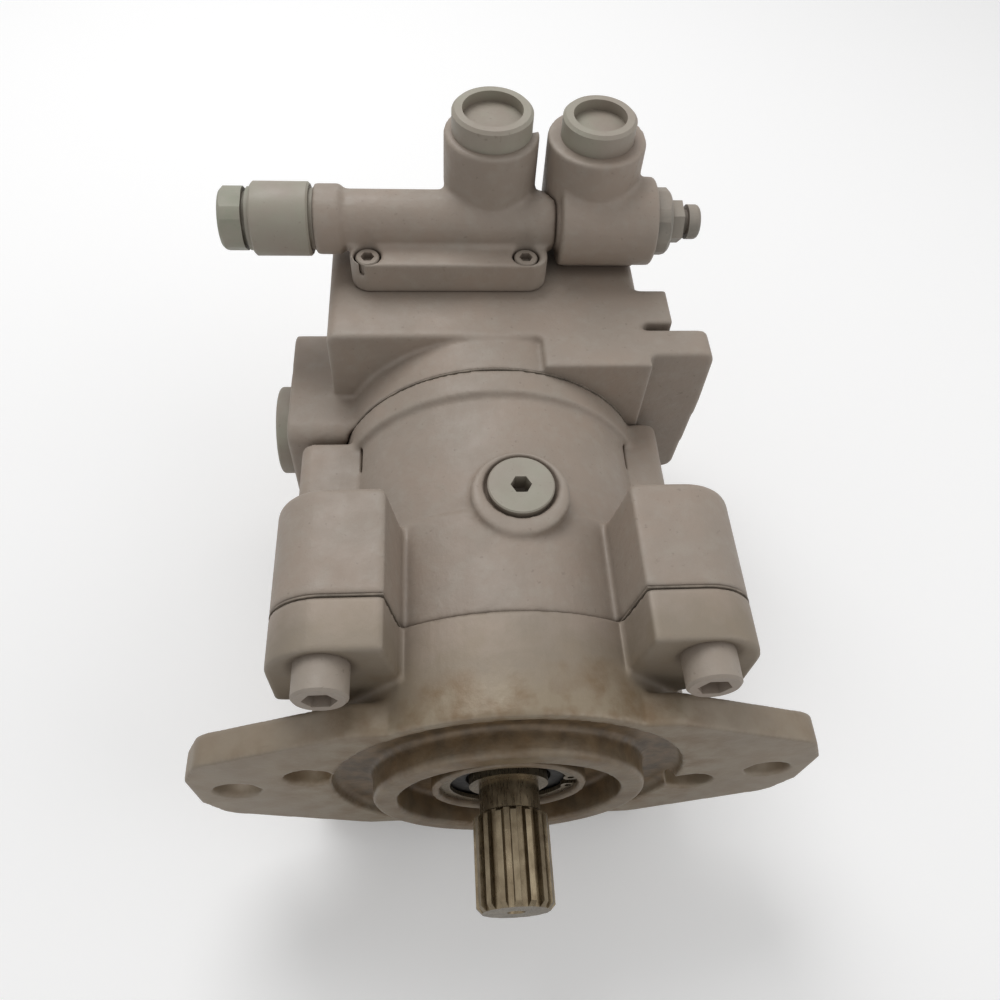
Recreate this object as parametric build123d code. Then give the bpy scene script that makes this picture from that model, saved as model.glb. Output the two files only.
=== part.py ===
from build123d import *
from math import atan2, cos, degrees, hypot, pi, radians, sin, sqrt
import os

# Variable axial piston pump with a load-sensing regulator, in millimetres.
# Origin: centre of the mounting face on the shaft axis. The shaft points along -Y, +Z is up.

# ---- clearances and fits -------------------------------------------------------------------
RUN = 0.03            # radial clearance of a running fit
SLIP = 0.15           # radial clearance of a part that drops into its seat
THREAD_GAP = 0.05     # radial gap between a plain thread cylinder and its hole
SOFT_GAP = 0.3        # gap left beside seals and springs

# ---- mounting flange and front cover -------------------------------------------------------
PILOT_R = 50.8
PILOT_HEIGHT = 6.8
RECESS_R = 65.5
RECESS_DEPTH = 4.0
FLANGE_T = 12.0
FLANGE_DISC_R = 70.0
LUG_FRONT = 18.0       # front of the corner lugs, where the bolts seat
EAR_TIP_X = 117.0
EAR_HALF_Z = 30.5
EAR_ROOT = (55.0, 56.0)   # where the ear's slanted edge meets the disc
EAR_TIP_HALF_Z = 14.0
EAR_SHOULDER_X = 110.0
EAR_ROUND = 9.0
OUTER_HOLE_X = 100.8
OUTER_HOLE_R = 8.5
INNER_PCD = 148.0
INNER_HOLE_R = 9.0
INNER_TURN = -9.5     # degrees that the inner pair is turned from the X axis
COVER_REAR = 37.0
PILOT_BORE_R = 41.7
PILOT_BORE_FLOOR = 5.0
HUB_R = 29.3
HUB_FRONT = -3.5

# ---- corner lugs and their bolts -----------------------------------------------------------
LUG_HALF_X = 82.0
LUG_HALF_Z = 83.0
LUG_INNER = 43.0
LUG_ROUND = 19.0
LUG_ROOT = 38.0        # where a lug's inner sides run into the round case
LUG_ROOT_Z = 55.0
BOLT_X = 63.0
BOLT_Z = 70.5
BOLT_R = 6.0
BOLT_HEAD_R = 9.2
BOLT_HEAD_T = 12.0
BOLT_LENGTH = 52.0
REAR_BOLT_R = 4.0
REAR_BOLT_HEAD_R = 6.5
REAR_BOLT_HEAD_T = 8.0
REAR_BOLT_LENGTH = 110.0
REAR_BOLT_COUNT = 6
REAR_BOLT_START = 30.0
SPOT_R = 11.0
SPOT_DEPTH = 0.8

# ---- housing -------------------------------------------------------------------------------
HOUSING_REAR = 146.5
HOUSING_LUG_REAR = 80.0
HOUSING_R = 66.5
HOUSING_STEP_Y = 62.0
HOUSING_STEP = 1.2
CAVITY_R = 55.0
GASKET_T = 0.6
BLOCK_FRONT_Y = HOUSING_REAR + 17.5
NECK_R = HOUSING_R + 1.5   # neck of the port block, and the case's rear edge that meets it
NECK_OVERLAP = 12.0

# ---- case plug on top ----------------------------------------------------------------------
PLUG_Y = 88.5
PLUG_X = 6.0
PLUG_BOSS_SHIFT = (-0.3, -2.8)   # the cast boss isn't concentric with the plug
PLUG_HEAD_R = 12.6
PLUG_HEAD_T = 3.2
PLUG_SOCKET = 7.0       # across the socket's flats
PLUG_THREAD_R = 9.0
PLUG_LENGTH = 15.0
PLUG_BOSS_R = 18.5
PLUG_BOSS_TOP = 69.0
PLUG_SEAT_R = 14.0

# ---- seal, bearings and shaft --------------------------------------------------------------
SEAL_BORE_R = 26.0
SEAL_T = 8.0
SEAL_FLOOR = 9.0
RING_INNER_R = 21.0
RING_T = 1.5
SEAL_JOURNAL_R = 15.0
BEARING_R = 31.0
BEARING_INNER_R = 17.5
BEARING_T = 18.0
BEARING_FRONT = 11.0
ROLLER_COUNT = 17
SPLINE_R = 14.0
SPLINE_TEETH = 16
SPLINE_DEPTH = 2.0
INNER_SPLINE_DEPTH = 2.2
SPLINE_END = -46.0
SPLINE_START = -12.0
NECK_SHAFT_R = 11.3
SHAFT_COLLAR_FRONT = -2.0
SHAFT_SHOULDER_R = 21.5
SHAFT_SHOULDER_T = 4.0
SHAFT_BODY_R = 15.0
SHAFT_REAR_R = 12.5
SHAFT_REAR = HOUSING_REAR + 20.5
REAR_BEARING_R = SHAFT_REAR_R + 3.5
REAR_BEARING_T = 16.0
REAR_BEARING_FRONT = HOUSING_REAR + 2.5
NEEDLE_R = 1.25
NEEDLE_COUNT = 24

# ---- rotating group ------------------------------------------------------------------------
PISTON_COUNT = 9
PISTON_PITCH_R = 34.0
PISTON_R = 8.5
PISTON_LENGTH = 44.0
BALL_R = 6.0
PIVOT_Y = 66.0        # plane of the piston balls, and the axis that the swash plate tilts about
SLIPPER_SOLE_R = 10.0
SLIPPER_SOLE_T = 4.0
SLIPPER_NECK_R = 7.2
SWASH_FACE_Y = 57.5
SWASH_R = 47.0
SWASH_BACK_Y = 50.0
SWASH_HOLE_R = 21.0
CRADLE_R = 27.0
CRADLE_LINER_T = 2.0
CRADLE_INNER_Z = 34.0
CRADLE_OUTER_Z = 47.0
CRADLE_HALF_X = 22.0
RETAINER_T = 3.0
RETAINER_R = 45.5
GUIDE_R = 22.0
BARREL_FRONT = 84.0
BARREL_R = 46.0
PLATE_T = 6.0         # valve plate
SPRING_CHAMBER_R = 21.5
SPRING_WIRE = 3.2
KIDNEY_R = 31.0
KIDNEY_WIDTH = 9.0

# ---- control pistons beside the barrel -----------------------------------------------------
CONTROL_X = 58.0      # axis of the control piston on the left and of the bias piston on the right
CONTROL_R = 7.0
CONTROL_ROD_R = 4.0
CONTROL_FRONT = 104.0
CONTROL_BACK = HOUSING_REAR - 8.5
ARM_T = 7.0
ARM_HALF_Z = 5.0

# ---- port block ----------------------------------------------------------------------------
BLOCK_REAR = HOUSING_REAR + 93.5
BLOCK_LEFT = -70.0
BLOCK_RIGHT = 65.0
BLOCK_TOP = 69.0
BLOCK_BOTTOM = -83.0
RIGHT_FRONT_X = 20.0
SIDE_STEP_X = 77.5
SIDE_STEP_Y = (BLOCK_FRONT_Y + 8.0, BLOCK_FRONT_Y + 28.0)
BRACKET_Y = (HOUSING_REAR + 6.5, HOUSING_REAR + 21.5)
LEFT_BOSS_X = -90.0
LEFT_BOSS_Y = (HOUSING_REAR - 4.5, HOUSING_REAR + 59.5)
LEFT_BOSS_Z = (-33.0, 31.0)
LEFT_RIB_X = -83.0
LEFT_RIB_Y = (96.0, LEFT_BOSS_Y[0] - 4.5)
RIGHT_RIB_X = 74.0
RIGHT_RIB_Y = (84.0, HOUSING_REAR)
RIB_Z = (-24.0, 31.0)
OUTLET_Y = HOUSING_REAR + 22.5
OUTLET_Z = 1.0
OUTLET_R = 10.0
OUTLET_BOLT_Y = 22.2
OUTLET_BOLT_Z = 47.6
PORT_BOLT_R = 4.25
PORT_BOLT_DEPTH = 18.0
OUTLET_CAP_R = 20.5
OUTLET_CAP_T = 7.5
INLET_R = 16.0
INLET_Z = -10.0
INLET_X = 18.0
INLET_DEPTH = 52.0
INLET_BOLT_X = 30.2
INLET_BOLT_Z = 58.7

# ---- regulator -----------------------------------------------------------------------------
PAD_X = (-60.0, 24.0)
PAD_Y = (BLOCK_REAR - 50.0, BLOCK_REAR - 2.0)
PAD_T = 15.0
PAD_ROUND = 8.0
VALVE_Y = PAD_Y[0] + 24.0       # axis of the regulator's barrel
VALVE_Z = BLOCK_TOP + 19.0
VALVE_R = 12.4
VALVE_LEFT = -63.0
VALVE_SPLIT = 27.0    # face between the two regulator bodies
VALVE_BORE_R = 5.0
BOSS_R = 14.4
BOSS_LEFT = -74.4
COLLAR_R = 15.1
COLLAR_LEFT = -100.0
COLLAR_GAP = 1.6
HEX_FLATS = 25.0
HEX_LEFT = -113.0
RIGHT_BODY_END = 70.0
RIGHT_BODY_R = 18.4
RIGHT_CHAMBER_R = 9.0
PORT_A = (-0.4, VALVE_Y + 12.0)
PORT_A_R = 19.6
PORT_A_TOP = VALVE_Z + 35.0
PORT_A_FOOT = VALVE_Z + 9.8   # flat underside of the port's fitting
CAP_A_R = 16.5
PORT_B = (43.0, VALVE_Y + 11.0)
PORT_B_R = 20.4
PORT_B_TOP = VALVE_Z + 33.5
CAP_B_R = 15.1
CAP_HEIGHT = 9.5
CAP_RECESS = 4.5
PORT_THREAD_R = 10.0
PORT_DEPTH = 16.0
BONNET_FLATS = 27.0
BONNET_END = 77.0
ADJUSTER_R = 5.0
ADJUSTER_HEAD_R = 7.3
ADJUSTER_TRAVEL = 2.5
ADJUSTER_END = 91.0
LOCK_NUT_T = 6.0
LOCK_NUT_FLATS = 16.0
SPOOL_R = 5.0
SPOOL_TRAVEL = 2.5
REG_SCREW_R = 3.0
REG_SCREW_HEAD_R = 5.0
REG_SCREW_X = (PAD_X[0] + 7.5, PAD_X[1] - 9.5)
REG_SCREW_Y = (PAD_Y[0] + 6.5, PAD_Y[1] - 6.5)


# ---- helpers -------------------------------------------------------------------------------
def across(y):
    """A sketch plane across the shaft at y, with local x along X and local y along Z."""
    return Plane(origin=(0, y, 0), x_dir=(1, 0, 0), z_dir=(0, -1, 0))


def slab(sketch, y0, y1):
    """A sketch in X and Z, solid from y0 to y1."""
    return extrude(across(y1) * sketch, amount=y1 - y0)


def disc(r, y0, y1, x=0.0, z=0.0):
    """A cylinder along Y."""
    return slab(Pos(x, z) * Circle(r), y0, y1)


def ring(outer, inner, y0, y1):
    """A plain ring around the shaft axis."""
    return slab(Circle(outer) - Circle(inner), y0, y1)


def turned(*points):
    """A body of revolution about the shaft axis, from (radius, y) points."""
    return revolve(make_face(Polyline(*points, close=True)), axis=Axis.Y)


def box(x, y, z):
    """A box from three (low, high) pairs."""
    size = [high - low for low, high in (x, y, z)]
    middle = [(low + high) / 2 for low, high in (x, y, z)]
    return Pos(*middle) * Box(*size)


def rod_x(r, x0, x1, y, z):
    """A cylinder along X."""
    return Pos((x0 + x1) / 2, y, z) * Rot(0, 90, 0) * Cylinder(r, x1 - x0)


def rod_z(r, z0, z1, x, y):
    """A cylinder along Z."""
    return Pos(x, y, (z0 + z1) / 2) * Cylinder(r, z1 - z0)


def hex_x(flats, x0, x1, y, z, turn=0.0):
    """A hexagonal bar along X, given across its flats."""
    sketch = RegularPolygon(flats / sqrt(3), 6, rotation=turn)
    return Plane(origin=(x0, y, z), x_dir=(0, 1, 0), z_dir=(1, 0, 0)) * extrude(sketch, amount=x1 - x0)


def hex_z(flats, z0, z1, x, y):
    """A hexagonal bar along Z, given across its flats."""
    return Pos(x, y, z0) * extrude(RegularPolygon(flats / sqrt(3), 6), amount=z1 - z0)


def around(count, radius, start=0.0):
    """(x, z, angle) of places evenly round the shaft axis."""
    for i in range(count):
        angle = radians(start) + 2 * pi * i / count
        yield radius * cos(angle), radius * sin(angle), degrees(angle)


def corners(x, z):
    """The four (x, z) corners of a rectangle about the shaft axis."""
    return [(sx * x, sz * z) for sx in (-1, 1) for sz in (-1, 1)]


def group(parts):
    """Separate solids as one node."""
    return Compound(children=[solid for part in parts for solid in part.solids()])


def edges_at(part, y, tolerance=0.01):
    """The edges that lie wholly in the plane across the shaft at y."""
    return [e for e in part.edges() if all(abs(v.Y - y) < tolerance for v in e.vertices())
            and abs(e.center().Y - y) < tolerance]


def spline_sketch(tip_r, depth, teeth, gap=0.0):
    """A toothed section: a tooth takes half of each pitch at its middle height."""
    root = tip_r - depth
    pitch = 2 * pi / teeth
    outline = Circle(root + gap)
    for i in range(teeth):
        middle = i * pitch
        low, high = 0.31 * pitch, 0.19 * pitch
        points = [
            ((root - 0.5) * cos(middle - low), (root - 0.5) * sin(middle - low)),
            ((tip_r + gap) * cos(middle - high), (tip_r + gap) * sin(middle - high)),
            ((tip_r + gap) * cos(middle + high), (tip_r + gap) * sin(middle + high)),
            ((root - 0.5) * cos(middle + low), (root - 0.5) * sin(middle + low)),
        ]
        outline += make_face(Polyline(*points, close=True))
    return outline


def lug_sketch():
    """The cover's section: a round wall with four corner lugs."""
    outline = Circle(HOUSING_R)
    for sx, sz in corners(1, 1):
        points = [(0, 0), (sx * LUG_ROOT, sz * LUG_ROOT_Z), (sx * LUG_INNER, sz * LUG_HALF_Z),
                  (sx * LUG_HALF_X, sz * LUG_HALF_Z), (sx * LUG_HALF_X, sz * LUG_INNER),
                  (sx * LUG_ROOT_Z, sz * LUG_ROOT)]
        lug = make_face(Polyline(*points, close=True))
        outer = lug.vertices().sort_by(lambda v: -hypot(v.X, v.Y))[0]
        lug = fillet(outer, LUG_ROUND)
        outline += lug
    return outline


def ear_sketch():
    """The two-ear mounting flange."""
    root_x, root_z = EAR_ROOT
    quarter = [(root_x, root_z), (EAR_SHOULDER_X, EAR_HALF_Z), (EAR_TIP_X, EAR_TIP_HALF_Z)]
    right = quarter + [(x, -z) for x, z in reversed(quarter)]
    left = [(-x, -z) for x, z in right]
    outline = make_face(Polyline(*right, *left, close=True))
    outline = fillet([v for v in outline.vertices() if abs(v.X) > root_x + 1], EAR_ROUND)
    return outline + Circle(FLANGE_DISC_R)


def bolt_y(r, head_r, head_t, length, hex_flats, x, z, seat_y, direction=1):
    """A socket-head screw along Y. Its head's seat is at seat_y and its shank runs along direction."""
    head = sorted((seat_y, seat_y - direction * head_t))
    shank = sorted((seat_y, seat_y + direction * length))
    socket = sorted((seat_y - direction * head_t, seat_y - direction * head_t * 0.45))
    body = disc(head_r, head[0], head[1], x, z)
    body = chamfer(edges_at(body, seat_y - direction * head_t), 0.9)
    body += disc(r, shank[0], shank[1], x, z)
    hexagon = slab(Pos(x, z) * RegularPolygon(hex_flats / sqrt(3), 6), *socket)
    return body - hexagon


# ---- casings -------------------------------------------------------------------------------
def front_cover():
    """Mounting flange, pilot, seal and bearing bores, and the saddles that carry the swash plate."""
    body = slab(ear_sketch(), 0, FLANGE_T) + disc(FLANGE_DISC_R, 0, COVER_REAR)
    body += slab(lug_sketch(), LUG_FRONT, COVER_REAR)
    body -= ring(RECESS_R, PILOT_R, 0, RECESS_DEPTH)
    pilot = disc(PILOT_R, -PILOT_HEIGHT, 0)
    body += chamfer(edges_at(pilot, -PILOT_HEIGHT), 1.0)
    body -= disc(PILOT_BORE_R, -PILOT_HEIGHT, PILOT_BORE_FLOOR)
    body += disc(HUB_R, HUB_FRONT, PILOT_BORE_FLOOR)
    body -= disc(SEAL_BORE_R, HUB_FRONT, SEAL_FLOOR)
    body -= disc(SHAFT_SHOULDER_R + 1, SEAL_FLOOR, BEARING_FRONT)
    body -= disc(BEARING_R, BEARING_FRONT, COVER_REAR)
    body -= ring_groove()
    for x, z in corners(BOLT_X, BOLT_Z):
        body -= disc(BOLT_R + 0.5, LUG_FRONT, COVER_REAR, x, z)
        body -= disc(SPOT_R, LUG_FRONT, LUG_FRONT + SPOT_DEPTH, x, z)
    for side in (-1, 1):
        body -= disc(OUTER_HOLE_R, 0, FLANGE_T, side * OUTER_HOLE_X, 0)
    for x, z, _ in around(2, INNER_PCD / 2, INNER_TURN):
        body -= disc(INNER_HOLE_R, 0, COVER_REAR, x, z)
    for z0, z1 in cradle_spans():
        saddle = box((-CRADLE_HALF_X, CRADLE_HALF_X), (COVER_REAR - 2, COVER_REAR + 10.0), (z0, z1))
        body += saddle - rod_z(CRADLE_R + CRADLE_LINER_T, z0 - 1, z1 + 1, 0, PIVOT_Y)
    return body


def cradle_spans():
    """The (low, high) heights of the lower and the upper half of the swash plate's cradle."""
    return (-CRADLE_OUTER_Z, -CRADLE_INNER_Z), (CRADLE_INNER_Z, CRADLE_OUTER_Z)


def ring_groove():
    """The groove for the seal's snap ring."""
    return ring(SEAL_BORE_R + 1.3, SEAL_BORE_R - 1, HUB_FRONT + 2.0, HUB_FRONT + 2.0 + RING_T + 0.1)


def housing():
    """The round case between the front cover and the port block, with its lugs and top boss."""
    front = COVER_REAR + GASKET_T
    body = disc(HOUSING_R - HOUSING_STEP, front, HOUSING_REAR)
    body += disc(HOUSING_R, front, HOUSING_STEP_Y)
    lugs = slab(lug_sketch(), front, HOUSING_LUG_REAR)
    rear_edges = [e for e in edges_at(lugs, HOUSING_LUG_REAR)
                  if hypot(e.center().X, e.center().Z) > HOUSING_R + 4]
    body += fillet(rear_edges, 4.0)
    body += disc(NECK_R, HOUSING_REAR - NECK_OVERLAP, HOUSING_REAR)
    body += rod_z(PLUG_BOSS_R, 50, PLUG_BOSS_TOP, PLUG_X + PLUG_BOSS_SHIFT[0], PLUG_Y + PLUG_BOSS_SHIFT[1])
    for x, y in (((LEFT_RIB_X, -40), LEFT_RIB_Y), ((40, RIGHT_RIB_X), RIGHT_RIB_Y)):
        rib = box(x, y, RIB_Z)
        body += fillet(rib.edges().filter_by(Axis.Y), 6.0)
    body -= disc(CAVITY_R, front, HOUSING_REAR)
    for side in (-1, 1):
        body -= disc(CONTROL_R + RUN, CONTROL_FRONT, CONTROL_BACK, side * CONTROL_X, 0)
        body -= box(sorted((side * 50, side * (CONTROL_X + CONTROL_ROD_R + 1.0))), (front, CONTROL_FRONT + 1),
                    (-CONTROL_ROD_R - 2, CONTROL_ROD_R + 2))
    body -= rod_z(PLUG_SEAT_R, PLUG_BOSS_TOP - PLUG_HEAD_T, PLUG_BOSS_TOP + 1, PLUG_X, PLUG_Y)
    body -= rod_z(PLUG_THREAD_R + THREAD_GAP, 40, PLUG_BOSS_TOP, PLUG_X, PLUG_Y)
    for x, z in corners(BOLT_X, BOLT_Z):
        body -= disc(BOLT_R + THREAD_GAP, front, HOUSING_LUG_REAR - 8, x, z)
    for x, z in rear_bolt_places():
        body -= disc(REAR_BOLT_R + THREAD_GAP, HOUSING_REAR - 26, HOUSING_REAR, x, z)
    return body


def rear_bolt_places():
    """(x, z) of the long screws that hold the port block, in the middle of the case wall."""
    middle = (CAVITY_R + HOUSING_R) / 2
    return [(x, z) for x, z, _ in around(REAR_BOLT_COUNT, middle, REAR_BOLT_START)]


def rear_bolt_seat():
    """Bottom of the counterbores in the port block's rear face."""
    return BLOCK_REAR - REAR_BOLT_HEAD_T - 1.0


def cover_gasket():
    """Flat gasket between cover and housing."""
    sheet = slab(lug_sketch(), COVER_REAR, COVER_REAR + GASKET_T) - disc(CAVITY_R, 0, COVER_REAR + 2)
    for x, z in corners(BOLT_X, BOLT_Z):
        sheet -= disc(BOLT_R + 0.5, COVER_REAR, COVER_REAR + GASKET_T, x, z)
    return sheet


def block_gasket():
    """Flat gasket between housing and port block."""
    sheet = ring(NECK_R, CAVITY_R, HOUSING_REAR, HOUSING_REAR + GASKET_T)
    for x, z in rear_bolt_places():
        sheet -= disc(REAR_BOLT_R + 0.4, HOUSING_REAR, HOUSING_REAR + GASKET_T, x, z)
    return sheet


def kidney(y0, y1, side, half_angle=62.0, width=KIDNEY_WIDTH):
    """One kidney slot on the left (-1) or right (1) of the shaft."""
    band = Circle(KIDNEY_R + width / 2) - Circle(KIDNEY_R - width / 2)
    reach = 60.0
    wedge = Polyline((0, 0), (side * reach, reach * sin(radians(half_angle)) / cos(radians(half_angle))),
                     (side * reach, -reach * sin(radians(half_angle)) / cos(radians(half_angle))), close=True)
    return slab(band & make_face(wedge), y0, y1)


def port_block():
    """Rear casting with the ports, the regulator's seat, the side boss and the lifting lug."""
    front = HOUSING_REAR + GASKET_T
    body = box((BLOCK_LEFT, BLOCK_RIGHT), (BLOCK_FRONT_Y, BLOCK_REAR), (BLOCK_BOTTOM, BLOCK_TOP))
    body = fillet(body.edges().filter_by(Axis.Y), 5.0)
    body += box((RIGHT_FRONT_X, BLOCK_RIGHT), (front, BLOCK_FRONT_Y + 1), (-40, BLOCK_TOP))
    body += disc(NECK_R, front, BLOCK_FRONT_Y + 1)
    body += box((BLOCK_RIGHT - 8, SIDE_STEP_X), SIDE_STEP_Y, (-30, BLOCK_TOP))
    bracket = [(58, BLOCK_TOP), (59.8, 40.2), (71.2, 11), (76, -7), (90, -14), (93, 40), (92.5, BLOCK_TOP)]
    lug = slab(make_face(Polyline(*bracket, close=True)), *BRACKET_Y)
    lug = fillet(lug.edges().filter_by(Axis.Y).sort_by(Axis.X)[-3:], 5.0)
    body += lug
    body += box((55, 78), (BRACKET_Y[0] + 4, SIDE_STEP_Y[0] + 2), (-30, 40))
    boss = box((LEFT_BOSS_X, -50), LEFT_BOSS_Y, LEFT_BOSS_Z)
    boss = fillet(boss.edges().filter_by(Axis.X), 8.0)
    body += boss - disc(HOUSING_R + 2.0, 120, front)
    body += reg_seat_pads()
    body -= disc(REAR_BEARING_R, front - 1, REAR_BEARING_FRONT + REAR_BEARING_T + 4)
    body -= kidney(front, OUTLET_Y, -1)
    body -= kidney(front, OUTLET_Y, 1)
    body -= rod_x(OUTLET_R, LEFT_BOSS_X, -KIDNEY_R, OUTLET_Y, OUTLET_Z)
    body -= disc(INLET_R, BLOCK_REAR - INLET_DEPTH, BLOCK_REAR, INLET_X, INLET_Z)
    body -= disc(KIDNEY_WIDTH / 2, OUTLET_Y - 1, BLOCK_REAR - INLET_DEPTH + 1, KIDNEY_R, INLET_Z)
    for y, z in ((sy, sz) for sy in (-1, 1) for sz in (-1, 1)):
        hole = rod_x(PORT_BOLT_R, LEFT_BOSS_X, LEFT_BOSS_X + PORT_BOLT_DEPTH,
                     OUTLET_Y + y * OUTLET_BOLT_Y / 2, OUTLET_Z + z * OUTLET_BOLT_Z / 2)
        body -= hole
    for x, z in corners(INLET_BOLT_X / 2, INLET_BOLT_Z / 2):
        body -= disc(PORT_BOLT_R, BLOCK_REAR - PORT_BOLT_DEPTH, BLOCK_REAR, INLET_X + x, INLET_Z + z)
    for x, z in rear_bolt_places():
        body -= disc(REAR_BOLT_R + 0.4, front, BLOCK_REAR, x, z)
        body -= disc(REAR_BOLT_HEAD_R + 0.6, rear_bolt_seat(), BLOCK_REAR, x, z)
    for x, y in reg_screw_places():
        body -= rod_z(REG_SCREW_R + THREAD_GAP, BLOCK_TOP - 14, BLOCK_TOP + 1, x, y)
    return body


def reg_seat_pads():
    """A low machined pad that the regulator stands on."""
    return box((PAD_X[0] + 3, PAD_X[1] - 3), (PAD_Y[0] + 3, PAD_Y[1] - 3), (BLOCK_TOP - 1, BLOCK_TOP))


def reg_screw_places():
    """(x, y) of the regulator's four screws."""
    return [(x, y) for x in REG_SCREW_X for y in REG_SCREW_Y]


# ---- regulator -----------------------------------------------------------------------------
def regulator_body():
    """Foot plate, spool barrel and left port boss of the load-sensing regulator."""
    foot_top = BLOCK_TOP + PAD_T
    foot = box(PAD_X, PAD_Y, (BLOCK_TOP, foot_top))
    foot = fillet(foot.edges().filter_by(Axis.Z), PAD_ROUND)
    body = foot + rod_x(VALVE_R, VALVE_LEFT, VALVE_SPLIT, VALVE_Y, VALVE_Z)
    body += box((VALVE_LEFT + 5, VALVE_SPLIT), (VALVE_Y - 5, VALVE_Y + VALVE_R), (foot_top - 1, VALVE_Z))
    body += rod_x(BOSS_R, BOSS_LEFT, VALVE_LEFT, VALVE_Y, VALVE_Z)
    body += rod_z(PORT_A_R, PORT_A_FOOT, PORT_A_TOP, *PORT_A)
    body -= rod_z(PORT_B_R + SOFT_GAP, BLOCK_TOP + 6 - SOFT_GAP, PORT_B_TOP, *PORT_B)
    body -= rod_x(VALVE_BORE_R + RUN, BOSS_LEFT, VALVE_SPLIT, VALVE_Y, VALVE_Z)
    body -= rod_z(PORT_THREAD_R, PORT_A_TOP - PORT_DEPTH, PORT_A_TOP, *PORT_A)
    body -= rod_z(3.0, VALVE_Z, PORT_A_TOP - PORT_DEPTH + 1, PORT_A[0], VALVE_Y + 6)
    for x, y in reg_screw_places():
        body -= rod_z(REG_SCREW_R + 0.3, BLOCK_TOP, foot_top, x, y)
        body -= rod_z(REG_SCREW_HEAD_R + 0.9, foot_top - 7.0, PORT_A_TOP, x, y)
    return body


def relief_body():
    """The right-hand regulator body, with the bias chamber and its own port boss."""
    body = rod_x(RIGHT_BODY_R, VALVE_SPLIT + 2.0, RIGHT_BODY_END, VALVE_Y, VALVE_Z)
    body += rod_x(VALVE_R - 1.0, VALVE_SPLIT, VALVE_SPLIT + 2.0, VALVE_Y, VALVE_Z)
    body += rod_z(PORT_B_R, BLOCK_TOP + 6, PORT_B_TOP, *PORT_B)
    body += box((VALVE_SPLIT + 5, RIGHT_BODY_END - 6), (VALVE_Y - 8, VALVE_Y + 24), (BLOCK_TOP, VALVE_Z))
    body -= rod_x(RIGHT_CHAMBER_R, VALVE_SPLIT + 6, RIGHT_BODY_END, VALVE_Y, VALVE_Z)
    body -= rod_x(VALVE_BORE_R + RUN, PORT_B[0] - PORT_B_R - 1, VALVE_SPLIT + 6, VALVE_Y, VALVE_Z)
    body -= rod_z(PORT_THREAD_R, PORT_B_TOP - PORT_DEPTH, PORT_B_TOP, *PORT_B)
    return body


def left_collar():
    """Round sleeve between the regulator's left boss and its hex plug."""
    body = rod_x(COLLAR_R, COLLAR_LEFT, BOSS_LEFT - COLLAR_GAP, VALVE_Y, VALVE_Z)
    body = chamfer(body.edges().filter_by(GeomType.CIRCLE), 0.8)
    body += rod_x(COLLAR_R - 2.5, BOSS_LEFT - COLLAR_GAP, BOSS_LEFT, VALVE_Y, VALVE_Z)
    return body - rod_x(VALVE_BORE_R + 1.0, COLLAR_LEFT, BOSS_LEFT, VALVE_Y, VALVE_Z)


def left_hex_plug():
    """Hexagon plug that closes the left end of the spool bore."""
    body = hex_x(HEX_FLATS, HEX_LEFT, COLLAR_LEFT - 3.4, VALVE_Y, VALVE_Z, turn=12.0)
    cone = rod_x(HEX_FLATS / 2 + 0.7, HEX_LEFT, COLLAR_LEFT - 3.4, VALVE_Y, VALVE_Z)
    body &= chamfer(cone.edges().sort_by(Axis.X)[:1], 1.5)
    body += rod_x(HEX_FLATS / 2 - 1.6, COLLAR_LEFT - 3.4, COLLAR_LEFT - 1.8, VALVE_Y, VALVE_Z)
    body += rod_x(HEX_FLATS / 2 + 0.4, COLLAR_LEFT - 1.8, COLLAR_LEFT, VALVE_Y, VALVE_Z)
    return body + rod_x(VALVE_BORE_R + 1.0 - THREAD_GAP, COLLAR_LEFT, COLLAR_LEFT + 12, VALVE_Y, VALVE_Z)


def port_cap(centre, top, cap_r):
    """Push-in transport cap with a dished top."""
    body = rod_z(cap_r, top, top + CAP_HEIGHT, *centre)
    body = chamfer(body.edges().sort_by(Axis.Z)[-1:], 1.2)
    body -= rod_z(cap_r - 4.2, top + CAP_HEIGHT - CAP_RECESS, top + CAP_HEIGHT, *centre)
    return body + rod_z(PORT_THREAD_R - SLIP, top - PORT_DEPTH + 3, top, *centre)


def left_port_cap():
    """Cap of the left pilot port."""
    return port_cap(PORT_A, PORT_A_TOP, CAP_A_R)


def right_port_cap():
    """Cap of the right pilot port."""
    return port_cap(PORT_B, PORT_B_TOP, CAP_B_R)


def right_bonnet():
    """Hexagon bonnet that closes the bias chamber and carries the adjusting screw."""
    body = hex_x(BONNET_FLATS, RIGHT_BODY_END, BONNET_END, VALVE_Y, VALVE_Z, turn=12.0)
    cone = rod_x(BONNET_FLATS / 2 + 0.8, RIGHT_BODY_END, BONNET_END, VALVE_Y, VALVE_Z)
    body &= chamfer(cone.edges().sort_by(Axis.X)[-1:], 1.6)
    body += rod_x(RIGHT_CHAMBER_R - THREAD_GAP, RIGHT_BODY_END - 9, RIGHT_BODY_END, VALVE_Y, VALVE_Z)
    body -= rod_x(RIGHT_CHAMBER_R - 2.5, RIGHT_BODY_END - 9, RIGHT_BODY_END - 3, VALVE_Y, VALVE_Z)
    return body - rod_x(ADJUSTER_R + RUN, RIGHT_BODY_END - 9, BONNET_END, VALVE_Y, VALVE_Z)


def adjusting_screw():
    """Screw that sets the regulator's spring, with a hexagon socket in its head."""
    head_start = BONNET_END + LOCK_NUT_T + ADJUSTER_TRAVEL
    body = rod_x(ADJUSTER_HEAD_R, head_start, ADJUSTER_END, VALVE_Y, VALVE_Z)
    body = fillet(body.edges().sort_by(Axis.X)[-1:], 2.0)
    body += rod_x(ADJUSTER_R, RIGHT_BODY_END - 4, head_start, VALVE_Y, VALVE_Z)
    return body - hex_x(5.0, ADJUSTER_END - 3.5, ADJUSTER_END, VALVE_Y, VALVE_Z)


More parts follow.
